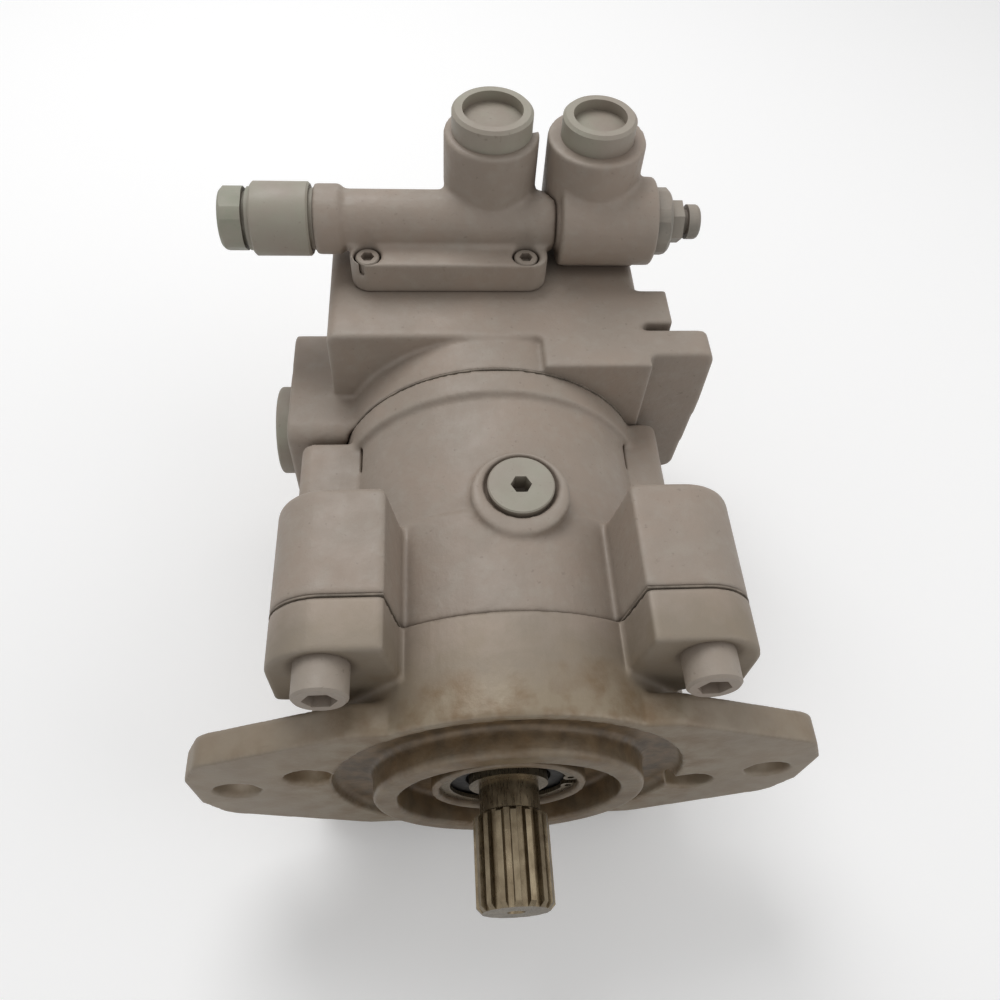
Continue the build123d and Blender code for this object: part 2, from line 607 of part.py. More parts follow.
def lock_nut():
    """Thin lock nut on the adjusting screw."""
    body = hex_x(LOCK_NUT_FLATS, BONNET_END, BONNET_END + LOCK_NUT_T, VALVE_Y, VALVE_Z, turn=8.0)
    return body - rod_x(ADJUSTER_R + RUN, BONNET_END, BONNET_END + LOCK_NUT_T, VALVE_Y, VALVE_Z)


def spool():
    """Control spool with three lands."""
    left, right = COLLAR_LEFT + 12 + SPOOL_TRAVEL + 1, VALVE_SPLIT + 6 + 6
    body = rod_x(SPOOL_R - 2.0, left, right, VALVE_Y, VALVE_Z)
    for x0, x1 in ((left, left + 22), (-40, -18), (0, VALVE_SPLIT + 4)):
        body += rod_x(SPOOL_R, x0, x1, VALVE_Y, VALVE_Z)
    return body


def spring_seat():
    """Seat that the regulator's spring presses on at the adjusting screw's end."""
    x1 = RIGHT_BODY_END - 4
    return rod_x(RIGHT_CHAMBER_R - 2.8, x1 - 3, x1, VALVE_Y, VALVE_Z)


def coil(mean_r, wire_r, length, turns):
    """A coil spring along local Z from 0 to length."""
    helix = Helix(pitch=(length - 2 * wire_r) / turns, height=length - 2 * wire_r, radius=mean_r)
    start = Plane(origin=helix @ 0, z_dir=helix % 0)
    return Pos(0, 0, wire_r) * sweep(start * Circle(wire_r), path=helix, is_frenet=True)


def regulator_spring():
    """Spring between the spool's end and the spring seat."""
    x0, x1 = VALVE_SPLIT + 12 + 0.3, RIGHT_BODY_END - 7 - 0.3
    spring = coil(4.6, 0.8, x1 - x0, 7)
    return Pos(x0, VALVE_Y, VALVE_Z) * Rot(0, 90, 0) * spring


def regulator_screws():
    """Four socket screws that hold the regulator to the port block."""
    seat = BLOCK_TOP + PAD_T - 7.0
    parts = []
    for x, y in reg_screw_places():
        body = rod_z(REG_SCREW_HEAD_R, seat, seat + 6, x, y)
        body = chamfer(body.edges().sort_by(Axis.Z)[-1:], 0.5)
        body += rod_z(REG_SCREW_R, seat - 20, seat, x, y)
        parts.append(body - hex_z(5.0, seat + 3, seat + 6, x, y))
    return group(parts)


# ---- fasteners, plugs and seals ------------------------------------------------------------
def front_bolts():
    """Four socket head screws through the corner lugs."""
    return group(bolt_y(BOLT_R, BOLT_HEAD_R, BOLT_HEAD_T, BOLT_LENGTH, 10.0, x, z, LUG_FRONT + SPOT_DEPTH)
                 for x, z in corners(BOLT_X, BOLT_Z))


def rear_bolts():
    """Six socket head screws that hold the port block to the case."""
    return group(bolt_y(REAR_BOLT_R, REAR_BOLT_HEAD_R, REAR_BOLT_HEAD_T, REAR_BOLT_LENGTH, 6.0, x, z,
                        rear_bolt_seat(), direction=-1) for x, z in rear_bolt_places())


def case_plug():
    """Flush port plug on top of the case."""
    seat = PLUG_BOSS_TOP - PLUG_HEAD_T
    body = rod_z(PLUG_HEAD_R, seat, PLUG_BOSS_TOP + 0.4, PLUG_X, PLUG_Y)
    body = chamfer(body.edges().sort_by(Axis.Z)[-1:], 0.5)
    body += rod_z(PLUG_THREAD_R, seat - PLUG_LENGTH + 4, seat, PLUG_X, PLUG_Y)
    return body - hex_z(PLUG_SOCKET, seat - 4, PLUG_BOSS_TOP + 1, PLUG_X, PLUG_Y)


def outlet_cap():
    """Push-in transport cap in the side outlet."""
    inner = LEFT_BOSS_X
    body = rod_x(OUTLET_CAP_R, inner - OUTLET_CAP_T, inner, OUTLET_Y, OUTLET_Z)
    body = fillet(body.edges().sort_by(Axis.X)[:1], 1.5)
    body -= rod_x(OUTLET_CAP_R - 6, inner - OUTLET_CAP_T, inner - OUTLET_CAP_T + 3, OUTLET_Y, OUTLET_Z)
    return body + rod_x(OUTLET_R - SLIP, inner, inner + 14, OUTLET_Y, OUTLET_Z)


def shaft_seal():
    """Radial lip seal: a cased ring with its lip on the shaft's collar."""
    back = SEAL_FLOOR
    lip = SEAL_JOURNAL_R + 0.05
    return turned((lip + 1.2, back - SEAL_T), (SEAL_BORE_R - 0.02, back - SEAL_T), (SEAL_BORE_R - 0.02, back),
                  (SEAL_BORE_R - 2.5, back), (SEAL_BORE_R - 2.5, back - SEAL_T + 2.5),
                  (lip + 3.2, back - SEAL_T + 2.5), (lip + 2.6, back - 1.5), (lip, back - 2.6),
                  (lip + 1.2, back - SEAL_T + 1.5))


def seal_snap_ring():
    """Internal snap ring in front of the seal, with its gap and two eyes."""
    y0 = HUB_FRONT + 2.05
    body = ring(SEAL_BORE_R + 1.1, RING_INNER_R + 1.2, y0, y0 + RING_T)
    for side in (-1, 1):
        eye = disc(3.2, y0, y0 + RING_T, 23.6, side * 5.0)
        body += eye & ring(SEAL_BORE_R, RING_INNER_R - 1.5, y0, y0 + RING_T)
    body -= box((15, 30), (y0 - 1, y0 + RING_T + 1), (-2.4, 2.4))
    for side in (-1, 1):
        body -= disc(1.3, y0, y0 + RING_T, 23.2, side * 5.0)
    return body


# ---- shaft and bearings --------------------------------------------------------------------
def drive_shaft():
    """Splined drive shaft with its seal collar, bearing seats and inner spline."""
    shoulder = BEARING_FRONT + BEARING_T
    neck_end = BARREL_FRONT + 16
    spline_back = HOUSING_REAR - PLATE_T - 12
    body = disc(NECK_SHAFT_R, SPLINE_START - 2, SHAFT_COLLAR_FRONT)
    body += disc(SEAL_JOURNAL_R, SHAFT_COLLAR_FRONT, SEAL_FLOOR + 1)
    body += disc(BEARING_INNER_R, SEAL_FLOOR + 1, shoulder)
    body += disc(SHAFT_SHOULDER_R, shoulder, shoulder + SHAFT_SHOULDER_T)
    body += disc(SHAFT_BODY_R - 2, shoulder + SHAFT_SHOULDER_T, neck_end)
    body += slab(spline_sketch(SHAFT_BODY_R, INNER_SPLINE_DEPTH, SPLINE_TEETH), neck_end, spline_back)
    body += disc(SHAFT_REAR_R, spline_back, SHAFT_REAR)
    spline = slab(spline_sketch(SPLINE_R, SPLINE_DEPTH, SPLINE_TEETH), SPLINE_END, SPLINE_START)
    nose = turned((0, SPLINE_END), (SPLINE_R - 1.8, SPLINE_END), (SPLINE_R + 0.5, SPLINE_END + 2.3),
                  (SPLINE_R + 0.5, SPLINE_START - 2.5), (NECK_SHAFT_R - 0.5, SPLINE_START),
                  (0, SPLINE_START))
    body += spline & nose
    centre = turned((0, SPLINE_END - 1), (3.6, SPLINE_END - 1), (3.0, SPLINE_END + 1.2), (1.6, SPLINE_END + 3.5),
                    (1.6, SPLINE_END + 8), (0, SPLINE_END + 9))
    return body - centre


def roller_line():
    """Half-section lines of the tapered bearing: (inner race radius, outer race radius) at each end."""
    return 21.0, 23.6, 25.4, 28.6


def front_bearing_inner_race():
    """Tapered inner race on the shaft, with a rib at each end of the rollers."""
    small, large, _, _ = roller_line()
    front, back = BEARING_FRONT, BEARING_FRONT + BEARING_T
    bore = BEARING_INNER_R
    return turned((bore, front), (small + 1.5, front), (small + 1.5, front + 1.8), (small - 0.1, front + 1.8),
                  (large - 0.1, back - 2.4), (large + 2.2, back - 2.4), (large + 2.2, back), (bore, back))


def front_bearing_outer_race():
    """Tapered outer race in the cover."""
    _, _, small, large = roller_line()
    front, back = BEARING_FRONT, BEARING_FRONT + BEARING_T - 3
    return turned((small + 0.1, front), (BEARING_R - 0.02, front), (BEARING_R - 0.02, back), (large + 0.1, back))


def front_bearing_rollers():
    """Tapered rollers between the two races."""
    small_in, large_in, small_out, large_out = roller_line()
    y0, y1 = BEARING_FRONT + 2.2, BEARING_FRONT + BEARING_T - 2.8
    r0 = (small_out - small_in) / 2 - 0.25
    r1 = (large_out - large_in) / 2 - 0.25
    m0, m1 = (small_out + small_in) / 2, (large_out + large_in) / 2
    length = hypot(m1 - m0, y1 - y0)
    lean = degrees(atan2(m1 - m0, y1 - y0))
    roller = Rot(-90, 0, 0) * Cone(r0, r1, length - 0.4)
    roller = Pos((m0 + m1) / 2, (y0 + y1) / 2, 0) * Rot(0, 0, -lean) * roller
    return group(Rot(0, angle, 0) * roller for _, _, angle in around(ROLLER_COUNT, 1.0))


def rear_bearing_sleeve():
    """Drawn outer ring of the rear needle bearing."""
    front, back = REAR_BEARING_FRONT, REAR_BEARING_FRONT + REAR_BEARING_T
    bore = SHAFT_REAR_R + 2 * NEEDLE_R + 2 * RUN
    return ring(REAR_BEARING_R - 0.02, bore, front, back)


def rear_bearing_needles():
    """Needles round the shaft's rear journal."""
    centre_r = SHAFT_REAR_R + RUN + NEEDLE_R
    y0, y1 = REAR_BEARING_FRONT + 1, REAR_BEARING_FRONT + REAR_BEARING_T - 1
    return group(disc(NEEDLE_R - 0.01, y0, y1, x, z) for x, z, _ in around(NEEDLE_COUNT, centre_r))


# ---- rotating group ------------------------------------------------------------------------
def cylinder_barrel():
    """Barrel with nine bores, kidney slots in its rear face and an inner spline."""
    back = HOUSING_REAR - PLATE_T
    body = disc(BARREL_R, BARREL_FRONT, back)
    body = chamfer(edges_at(body, BARREL_FRONT), 1.5)
    body -= disc(SPRING_CHAMBER_R, BARREL_FRONT, BARREL_FRONT + 16)
    inner_spline = spline_sketch(SHAFT_BODY_R, INNER_SPLINE_DEPTH, SPLINE_TEETH, gap=RUN + 0.05)
    body -= slab(inner_spline, BARREL_FRONT + 16, back - 12)
    body -= disc(SHAFT_REAR_R + 3.5, back - 12, back)
    for x, z, angle in piston_places():
        body -= disc(PISTON_R, BARREL_FRONT, back - 8, x, z)
        slot = Rot(0, 0, angle + 90) * SlotCenterToCenter(6.0, 6.0)
        k = KIDNEY_R / PISTON_PITCH_R
        body -= slab(Pos(x * k, z * k) * slot, back - 9, back)
    return body


def piston_places():
    """Places of the pistons round the shaft; the first one is straight up."""
    return list(around(PISTON_COUNT, PISTON_PITCH_R, 90.0))


def piston():
    """One piston on the shaft axis: ball, neck and hollow skirt."""
    start = PIVOT_Y + BALL_R + 3
    body = Pos(0, PIVOT_Y, 0) * Sphere(BALL_R)
    body += disc(4.0, PIVOT_Y + 2, start + 1)
    skirt = disc(PISTON_R - RUN, start, start + PISTON_LENGTH)
    body += chamfer(edges_at(skirt, start), 1.2)
    return body - disc(5.4, start + 10, start + PISTON_LENGTH) - disc(0.8, PIVOT_Y - BALL_R, start + 11)


def slipper():
    """One slipper on the shaft axis: sole with its oil pocket, and the socket round the ball."""
    sole_end = SWASH_FACE_Y + SLIPPER_SOLE_T
    body = disc(SLIPPER_SOLE_R, SWASH_FACE_Y, sole_end) + disc(SLIPPER_NECK_R, sole_end, PIVOT_Y + 2.6)
    body -= Pos(0, PIVOT_Y, 0) * Sphere(BALL_R + RUN)
    body -= disc(5.5, SWASH_FACE_Y, SWASH_FACE_Y + 0.8)
    return body - disc(0.8, SWASH_FACE_Y, PIVOT_Y)


def retainer_plate():
    """Plate that holds the slippers on the swash plate, carried on the guide's ball."""
    y0 = SWASH_FACE_Y + SLIPPER_SOLE_T + 0.1
    body = disc(RETAINER_R, y0, y0 + RETAINER_T)
    for x, z, _ in piston_places():
        body -= disc(SLIPPER_NECK_R + 0.6, y0, y0 + RETAINER_T, x, z)
    return body - Pos(0, PIVOT_Y, 0) * Sphere(GUIDE_R + RUN)


def ball_guide():
    """Ball-faced collar on the shaft that presses the retainer plate forward."""
    body = Pos(0, PIVOT_Y, 0) * Sphere(GUIDE_R)
    body &= disc(GUIDE_R + 2, SWASH_FACE_Y + 3, PIVOT_Y + 8)
    body += disc(SPRING_CHAMBER_R - 3.5, PIVOT_Y + 6, BARREL_FRONT - 2)
    return body - disc(SHAFT_BODY_R - 2 + RUN, SWASH_FACE_Y, BARREL_FRONT)


def barrel_spring():
    """Spring that presses the barrel and the ball guide apart."""
    y0, y1 = BARREL_FRONT - 2 + 0.2, BARREL_FRONT + 16 - 0.2
    spring = coil(17.2, SPRING_WIRE / 2, y1 - y0, 3)
    return Pos(0, y0, 0) * Rot(-90, 0, 0) * spring


def swash_plate():
    """Swash plate in its neutral place, with two round cradle feet."""
    body = disc(SWASH_R, SWASH_BACK_Y, SWASH_FACE_Y)
    for z0, z1 in cradle_spans():
        foot = rod_z(CRADLE_R - RUN, z0, z1, 0, PIVOT_Y)
        body += foot & box((-CRADLE_HALF_X, CRADLE_HALF_X), (COVER_REAR, SWASH_BACK_Y + 1), (z0, z1))
    tip = CONTROL_X + CONTROL_ROD_R
    body += box((-tip, tip), (SWASH_FACE_Y - ARM_T, SWASH_FACE_Y), (-ARM_HALF_Z, ARM_HALF_Z))
    return body - disc(SWASH_HOLE_R, COVER_REAR, SWASH_FACE_Y)


def cradle_liners():
    """Two curved bearing shells between the swash plate and the cover's saddles."""
    parts = []
    for z0, z1 in cradle_spans():
        shell = rod_z(CRADLE_R + CRADLE_LINER_T - 0.02, z0, z1, 0, PIVOT_Y)
        shell -= rod_z(CRADLE_R, z0, z1, 0, PIVOT_Y)
        shell &= box((1 - CRADLE_HALF_X, CRADLE_HALF_X - 1), (COVER_REAR - 1, COVER_REAR + 9.5), (z0, z1))
        parts.append(shell)
    return group(parts)


def control_piston():
    """Piston that pushes the swash plate back from full stroke, on the left of the barrel."""
    body = disc(CONTROL_R, CONTROL_FRONT + 2, CONTROL_BACK - 6, -CONTROL_X, 0)
    return body + disc(CONTROL_ROD_R, SWASH_FACE_Y + 0.02, CONTROL_FRONT + 2, -CONTROL_X, 0)


def bias_piston():
    """Sprung piston that pushes the swash plate towards full stroke, on the right of the barrel."""
    body = disc(CONTROL_R, CONTROL_FRONT + 2, CONTROL_FRONT + 12, CONTROL_X, 0)
    return body + disc(CONTROL_ROD_R, SWASH_FACE_Y + 0.02, CONTROL_FRONT + 2, CONTROL_X, 0)


def bias_spring():
    """Spring behind the bias piston."""
    y0, y1 = CONTROL_FRONT + 12.2, CONTROL_BACK - 0.2
    return Pos(CONTROL_X, y0, 0) * Rot(-90, 0, 0) * coil(CONTROL_R - 1.6, 0.9, y1 - y0, 6)


def valve_plate():
    """Port plate between the barrel and the port block."""
    y0, y1 = HOUSING_REAR - PLATE_T + 0.02, HOUSING_REAR + GASKET_T
    body = disc(BARREL_R, y0, y1) - disc(SHAFT_REAR_R + 3.5, y0, y1)
    return body - kidney(y0, y1, -1) - kidney(y0, y1, 1)


def placed(make, i):
    """A piston or slipper moved to its place round the shaft."""
    x, z, _ = piston_places()[i]
    return Pos(x, 0, z) * make()


# ---- every node ----------------------------------------------------------------------------
NODES = {
    "front_cover": front_cover,
    "housing": housing,
    "port_block": port_block,
    "cover_gasket": cover_gasket,
    "block_gasket": block_gasket,
    "front_bolts": front_bolts,
    "rear_bolts": rear_bolts,
    "case_plug": case_plug,
    "outlet_cap": outlet_cap,
    "shaft_seal": shaft_seal,
    "seal_snap_ring": seal_snap_ring,
    "regulator_body": regulator_body,
    "relief_body": relief_body,
    "left_collar": left_collar,
    "left_hex_plug": left_hex_plug,
    "left_port_cap": left_port_cap,
    "right_port_cap": right_port_cap,
    "right_bonnet": right_bonnet,
    "adjusting_screw": adjusting_screw,
    "lock_nut": lock_nut,
    "spool": spool,
    "spring_seat": spring_seat,
    "regulator_spring": regulator_spring,
    "regulator_screws": regulator_screws,
    "drive_shaft": drive_shaft,
    "front_bearing_inner_race": front_bearing_inner_race,
    "front_bearing_outer_race": front_bearing_outer_race,
    "front_bearing_rollers": front_bearing_rollers,
    "rear_bearing_sleeve": rear_bearing_sleeve,
    "rear_bearing_needles": rear_bearing_needles,
    "cylinder_barrel": cylinder_barrel,
    "ball_guide": ball_guide,
    "barrel_spring": barrel_spring,
    "retainer_plate": retainer_plate,
    "swash_plate": swash_plate,
    "cradle_liners": cradle_liners,
    "valve_plate": valve_plate,
    "control_piston": control_piston,
    "bias_piston": bias_piston,
    "bias_spring": bias_spring,
}

os.makedirs("parts", exist_ok=True)
for name, make in NODES.items():
    export_step(make(), f"parts/{name}.step")
for number in range(PISTON_COUNT):
    export_step(placed(piston, number), f"parts/piston_{number + 1}.step")
    export_step(placed(slipper, number), f"parts/slipper_{number + 1}.step")
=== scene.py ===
from math import cos, radians, sin

import bpy
from mathutils import Matrix, Vector


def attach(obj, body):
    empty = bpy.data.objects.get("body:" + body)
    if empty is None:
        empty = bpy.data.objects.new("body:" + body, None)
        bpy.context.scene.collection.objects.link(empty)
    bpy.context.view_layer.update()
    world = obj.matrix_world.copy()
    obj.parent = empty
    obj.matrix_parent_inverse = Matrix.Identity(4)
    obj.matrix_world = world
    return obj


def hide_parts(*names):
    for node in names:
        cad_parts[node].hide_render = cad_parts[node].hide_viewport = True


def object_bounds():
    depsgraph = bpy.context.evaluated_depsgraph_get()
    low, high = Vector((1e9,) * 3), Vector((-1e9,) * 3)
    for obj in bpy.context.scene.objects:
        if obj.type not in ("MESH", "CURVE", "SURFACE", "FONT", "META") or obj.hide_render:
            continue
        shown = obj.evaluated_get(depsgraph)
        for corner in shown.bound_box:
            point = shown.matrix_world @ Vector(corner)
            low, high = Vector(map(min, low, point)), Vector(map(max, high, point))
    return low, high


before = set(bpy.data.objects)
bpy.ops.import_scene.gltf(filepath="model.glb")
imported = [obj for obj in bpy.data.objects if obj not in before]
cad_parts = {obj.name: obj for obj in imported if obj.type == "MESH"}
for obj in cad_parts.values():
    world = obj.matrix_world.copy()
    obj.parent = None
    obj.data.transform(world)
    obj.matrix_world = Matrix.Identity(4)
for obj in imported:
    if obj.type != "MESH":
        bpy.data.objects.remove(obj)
cad_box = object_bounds()

# ---- colours, as linear values --------------------------------------------------------------
PAINT = (0.300, 0.250, 0.206)
PAINT_WARM = (0.320, 0.257, 0.208)
# pale tone for dust, and for the painted highlight on convex edges
PAINT_DUST_AND_HIGHLIGHT = (0.34, 0.30, 0.252)
# dark tone for painted shade in corners, and for dark specks on the paint
PAINT_SHADE_AND_GRIME = (0.13, 0.10, 0.078)
GREEN_PAINT = (0.27, 0.285, 0.215)
CAP_PAINT = (0.32, 0.31, 0.245)
FITTING_PAINT = (0.22, 0.205, 0.175)
COVER_PAINT = (0.235, 0.195, 0.150)
COVER_WARM = (0.255, 0.205, 0.150)
MACHINED = (0.25, 0.20, 0.135)
MACHINED_RUST = (0.17, 0.11, 0.055)
OILED_STEEL = (0.24, 0.195, 0.13)
OIL_BROWN = (0.075, 0.050, 0.026)
BEARING = (0.55, 0.54, 0.52)
HARDENED = (0.42, 0.41, 0.40)
SPRING = (0.22, 0.22, 0.23)
BRONZE = (0.52, 0.30, 0.10)
RUBBER = (0.015, 0.014, 0.013)
GASKET = (0.15, 0.125, 0.10)

MM = 0.001


# ---- node helpers ---------------------------------------------------------------------------
class Nodes:
    """Builds one procedural material."""

    def __init__(self, name):
        """Starts from an empty material of that name, placed by the CAD frame."""
        self.material = bpy.data.materials.new(name)
        self.material.use_nodes = True
        self.tree = self.material.node_tree
        self.shader = self.tree.nodes["Principled BSDF"]
        self.place = self.add("ShaderNodeTexCoord").outputs["Object"]

    def add(self, kind, **settings):
        """A new node of this kind with its settings."""
        node = self.tree.nodes.new(kind)
        for key, value in settings.items():
            setattr(node, key, value)
        return node

    def link(self, source, target):
        """Joins an output to an input."""
        self.tree.links.new(source, target)

    def noise(self, size, detail=4.0, rough=0.55, stretch=(1, 1, 1)):
        """Noise whose features are about size metres across."""
        mapping = self.add("ShaderNodeMapping")
        mapping.inputs["Scale"].default_value = stretch
        self.link(self.place, mapping.inputs["Vector"])
        node = self.add("ShaderNodeTexNoise")
        node.inputs["Scale"].default_value = 1 / size
        node.inputs["Detail"].default_value = detail
        node.inputs["Roughness"].default_value = rough
        self.link(mapping.outputs["Vector"], node.inputs["Vector"])
        return node.outputs["Fac"]

    def ramp(self, source, low, high, start=0.0, end=1.0):
        """Maps source from [low, high] to [start, end], held at both ends."""
        node = self.add("ShaderNodeMapRange")
        limits = (("From Min", low), ("From Max", high), ("To Min", start), ("To Max", end))
        for key, value in limits:
            node.inputs[key].default_value = value
        self.link(source, node.inputs["Value"])
        return node.outputs["Result"]

    def math(self, operation, a, b):
        """One sum on two values, each a number or a socket."""
        node = self.add("ShaderNodeMath", operation=operation)
        for socket, value in zip(node.inputs, (a, b)):
            if isinstance(value, (int, float)):
                socket.default_value = value
            else:
                self.link(value, socket)
        return node.outputs["Value"]

    def mix(self, factor, a, b):
        """Mixes two colours, each a triple or a socket."""
        node = self.add("ShaderNodeMix", data_type="RGBA")
        self.link(factor, node.inputs["Factor"])
        for socket, value in ((node.inputs[6], a), (node.inputs[7], b)):
            if isinstance(value, tuple):
                socket.default_value = (*value, 1)
            else:
                self.link(value, socket)
        return node.outputs[2]

    def edges(self):
        """(convex, concave) from 0 to 1, from how the surface bends."""
        point = self.add("ShaderNodeNewGeometry").outputs["Pointiness"]
        return self.ramp(point, 0.515, 0.60), self.ramp(point, 0.485, 0.42)

    def corners(self, reach):
        """1 where other faces stand close by, such as a joint line or a pocket; it sets where
        shade is painted.
        """
        node = self.add("ShaderNodeAmbientOcclusion", samples=6)
        node.inputs["Distance"].default_value = reach
        return self.ramp(node.outputs["AO"], 0.75, 0.25)

    def bump(self, height, distance, strength=1.0, under=None):
        """Fine relief from a height, on top of an earlier one if given."""
        node = self.add("ShaderNodeBump")
        node.inputs["Strength"].default_value = strength
        node.inputs["Distance"].default_value = distance
        self.link(height, node.inputs["Height"])
        if under is not None:
            self.link(under, node.inputs["Normal"])
        return node.outputs["Normal"]

    def done(self, colour, roughness, normal=None, metallic=0.0):
        """Feeds the shader and returns the material."""
        self.link(colour, self.shader.inputs["Base Color"])
        self.link(roughness, self.shader.inputs["Roughness"])
        if normal is not None:
            self.link(normal, self.shader.inputs["Normal"])
        self.shader.inputs["Metallic"].default_value = metallic
        return self.material


# ---- materials ------------------------------------------------------------------------------
def cast_paint(name, colour, warm, casting=1.0, shade_strength=1.0):
    """Satin paint on a sand casting: lumpy and patchy with dust and specks, painted shade in
    corners, a painted highlight on convex edges.
    """
    n = Nodes(name)
    patches = n.ramp(n.noise(28 * MM, 5), 0.38, 0.64)
    tone = n.mix(patches, colour, warm)
    dust = n.math("MULTIPLY", n.ramp(n.noise(6 * MM, 6), 0.48, 0.70), 0.45)
    tone = n.mix(dust, tone, PAINT_DUST_AND_HIGHLIGHT)
    convex, _ = n.edges()
    # Painted highlight: convex edges turned paler.
    tone = n.mix(n.math("MULTIPLY", convex, 0.5), tone, PAINT_DUST_AND_HIGHLIGHT)
    spots = n.math("MULTIPLY", n.ramp(n.noise(2.2 * MM, 3), 0.66, 0.74), 0.35)
    # Painted shade: darker where other faces stand close, joined below with the dark specks.
    corner_shade = n.math("MULTIPLY", n.corners(7 * MM), 0.75 * shade_strength)
    tone = n.mix(n.math("MAXIMUM", corner_shade, spots), tone, PAINT_SHADE_AND_GRIME)
    roughness = n.ramp(n.noise(9 * MM, 4), 0.3, 0.7, 0.46, 0.64)
    skin = n.bump(n.noise(3.0 * MM, 5), 0.28 * MM * casting, 0.8)
    skin = n.bump(n.noise(0.55 * MM, 3), 0.06 * MM * casting, 0.7, skin)
    return n.done(tone, roughness, skin)


# Wear on the front cover, as (where it begins, where it is full). Depths are behind the
# mounting face and radii are from the shaft's axis.
WEAR_DEPTH = (21 * MM, 5 * MM)
WEAR_RADIUS = (88 * MM, 66 * MM)
WEAR_WANDER = 7 * MM                # how far the worn edge strays
FRONT_TONE_DEPTH = (40 * MM, 24 * MM)
OILY_RADIUS = (67 * MM, 62 * MM)
OILY_DEPTH = (30 * MM, 26 * MM)
OIL_FULL_DEPTH = (-8 * MM, 4 * MM)
OUTER_SHARE = 0.35                  # share of wear or oil left beyond those limits


def cover_paint():
    """The front cover: painted behind, worn to rusty metal on the disc, ears and pilot."""
    n = Nodes("cover_paint")
    patches = n.ramp(n.noise(30 * MM, 5), 0.38, 0.64)
    back = n.mix(patches, PAINT, PAINT_WARM)
    front = n.mix(patches, COVER_PAINT, COVER_WARM)
    bare = n.mix(n.ramp(n.noise(11 * MM, 6), 0.40, 0.62), MACHINED, MACHINED_RUST)
    split = n.add("ShaderNodeSeparateXYZ")
    n.link(n.place, split.inputs["Vector"])
    wander = n.ramp(n.noise(14 * MM, 6), 0.3, 0.7, -WEAR_WANDER, WEAR_WANDER)
    depth = n.math("ADD", split.outputs["Y"], wander)
    worn = n.ramp(depth, *WEAR_DEPTH)
    length = n.add("ShaderNodeVectorMath", operation="LENGTH")
    flat = n.add("ShaderNodeCombineXYZ")
    n.link(split.outputs["X"], flat.inputs["X"])
    n.link(split.outputs["Z"], flat.inputs["Y"])
    n.link(flat.outputs["Vector"], length.inputs[0])
    radius = length.outputs["Value"]
    worn = n.math("MULTIPLY", worn, n.ramp(radius, *WEAR_RADIUS, OUTER_SHARE, 1.0))
    paint = n.mix(n.ramp(depth, *FRONT_TONE_DEPTH), back, front)
    tone = n.mix(worn, paint, bare)
    near = n.ramp(radius, *OILY_RADIUS)
    inside = n.math("MULTIPLY", near, n.ramp(split.outputs["Y"], *OILY_DEPTH))
    oily = n.mix(n.ramp(n.noise(7 * MM, 5), 0.35, 0.65), MACHINED_RUST, OIL_BROWN)
    oil = n.ramp(split.outputs["Y"], *OIL_FULL_DEPTH, OUTER_SHARE, 1.0)
    tone = n.mix(n.math("MULTIPLY", inside, oil), tone, oily)
    convex, _ = n.edges()
    # Painted highlight: convex edges turned paler.
    tone = n.mix(n.math("MULTIPLY", convex, 0.45), tone, PAINT_DUST_AND_HIGHLIGHT)
    # Painted shade in the corners.
    tone = n.mix(n.math("MULTIPLY", n.corners(6 * MM), 0.75), tone, PAINT_SHADE_AND_GRIME)
    roughness = n.ramp(worn, 0.0, 1.0, 0.55, 0.40)
    skin = n.bump(n.noise(2.6 * MM, 5), 0.20 * MM, 0.7)
    skin = n.bump(n.noise(0.5 * MM, 3), 0.05 * MM, 0.6, skin)
    return n.done(tone, roughness, skin, metallic=0.15)


def metal(name, colour, stain_and_shade, amount=0.5, rough=(0.22, 0.40), grain=(1, 1, 1)):
    """Machined metal with tool marks, stains, and painted shade in its corners."""
    n = Nodes(name)
    marks = n.noise(0.6 * MM, 3, stretch=grain)
    blotch = n.math("MULTIPLY", n.ramp(n.noise(6 * MM, 5), 0.35, 0.70), amount)
    tone = n.mix(blotch, colour, stain_and_shade)
    # Painted shade in the corners.
    tone = n.mix(n.math("MULTIPLY", n.corners(2.5 * MM), 0.7), tone, stain_and_shade)
    roughness = n.ramp(marks, 0.3, 0.7, *rough)
    return n.done(tone, roughness, n.bump(marks, 0.02 * MM, 0.6), metallic=0.9)


def soft(name, colour, rough=(0.55, 0.75), size=1.2):
    """Rubber or fibre: fine grain and a little unevenness."""
    n = Nodes(name)
    pale = tuple(c * 1.8 for c in colour)
    tone = n.mix(n.ramp(n.noise(5 * MM, 4), 0.4, 0.7), colour, pale)
    roughness = n.ramp(n.noise(3 * MM, 3), 0.3, 0.7, *rough)
    return n.done(tone, roughness, n.bump(n.noise(size * MM, 4), 0.05 * MM, 0.6))


MATERIALS = {
    "cast_paint": cast_paint("cast_paint", PAINT, PAINT_WARM),
    "cover_paint": cover_paint(),
    "smooth_paint": cast_paint("smooth_paint", CAP_PAINT, PAINT, casting=0.35),
    "fitting_paint": cast_paint("fitting_paint", FITTING_PAINT, PAINT, casting=0.4),
    "green_paint": cast_paint("green_paint", GREEN_PAINT, PAINT_DUST_AND_HIGHLIGHT, casting=0.3),
    "oiled_steel": metal("oiled_steel", OILED_STEEL, OIL_BROWN, 0.6, grain=(1, 0.15, 1)),
    "bearing_steel": metal("bearing_steel", BEARING, OILED_STEEL, 0.3, (0.12, 0.25)),
    "hardened_steel": metal("hardened_steel", HARDENED, OILED_STEEL, 0.35),
    "spring_steel": metal("spring_steel", SPRING, OIL_BROWN, 0.3),
    "bronze": metal("bronze", BRONZE, OIL_BROWN, 0.35),
    "rubber": soft("rubber", RUBBER),
    "gasket": soft("gasket", GASKET, (0.7, 0.85), 0.7),
}

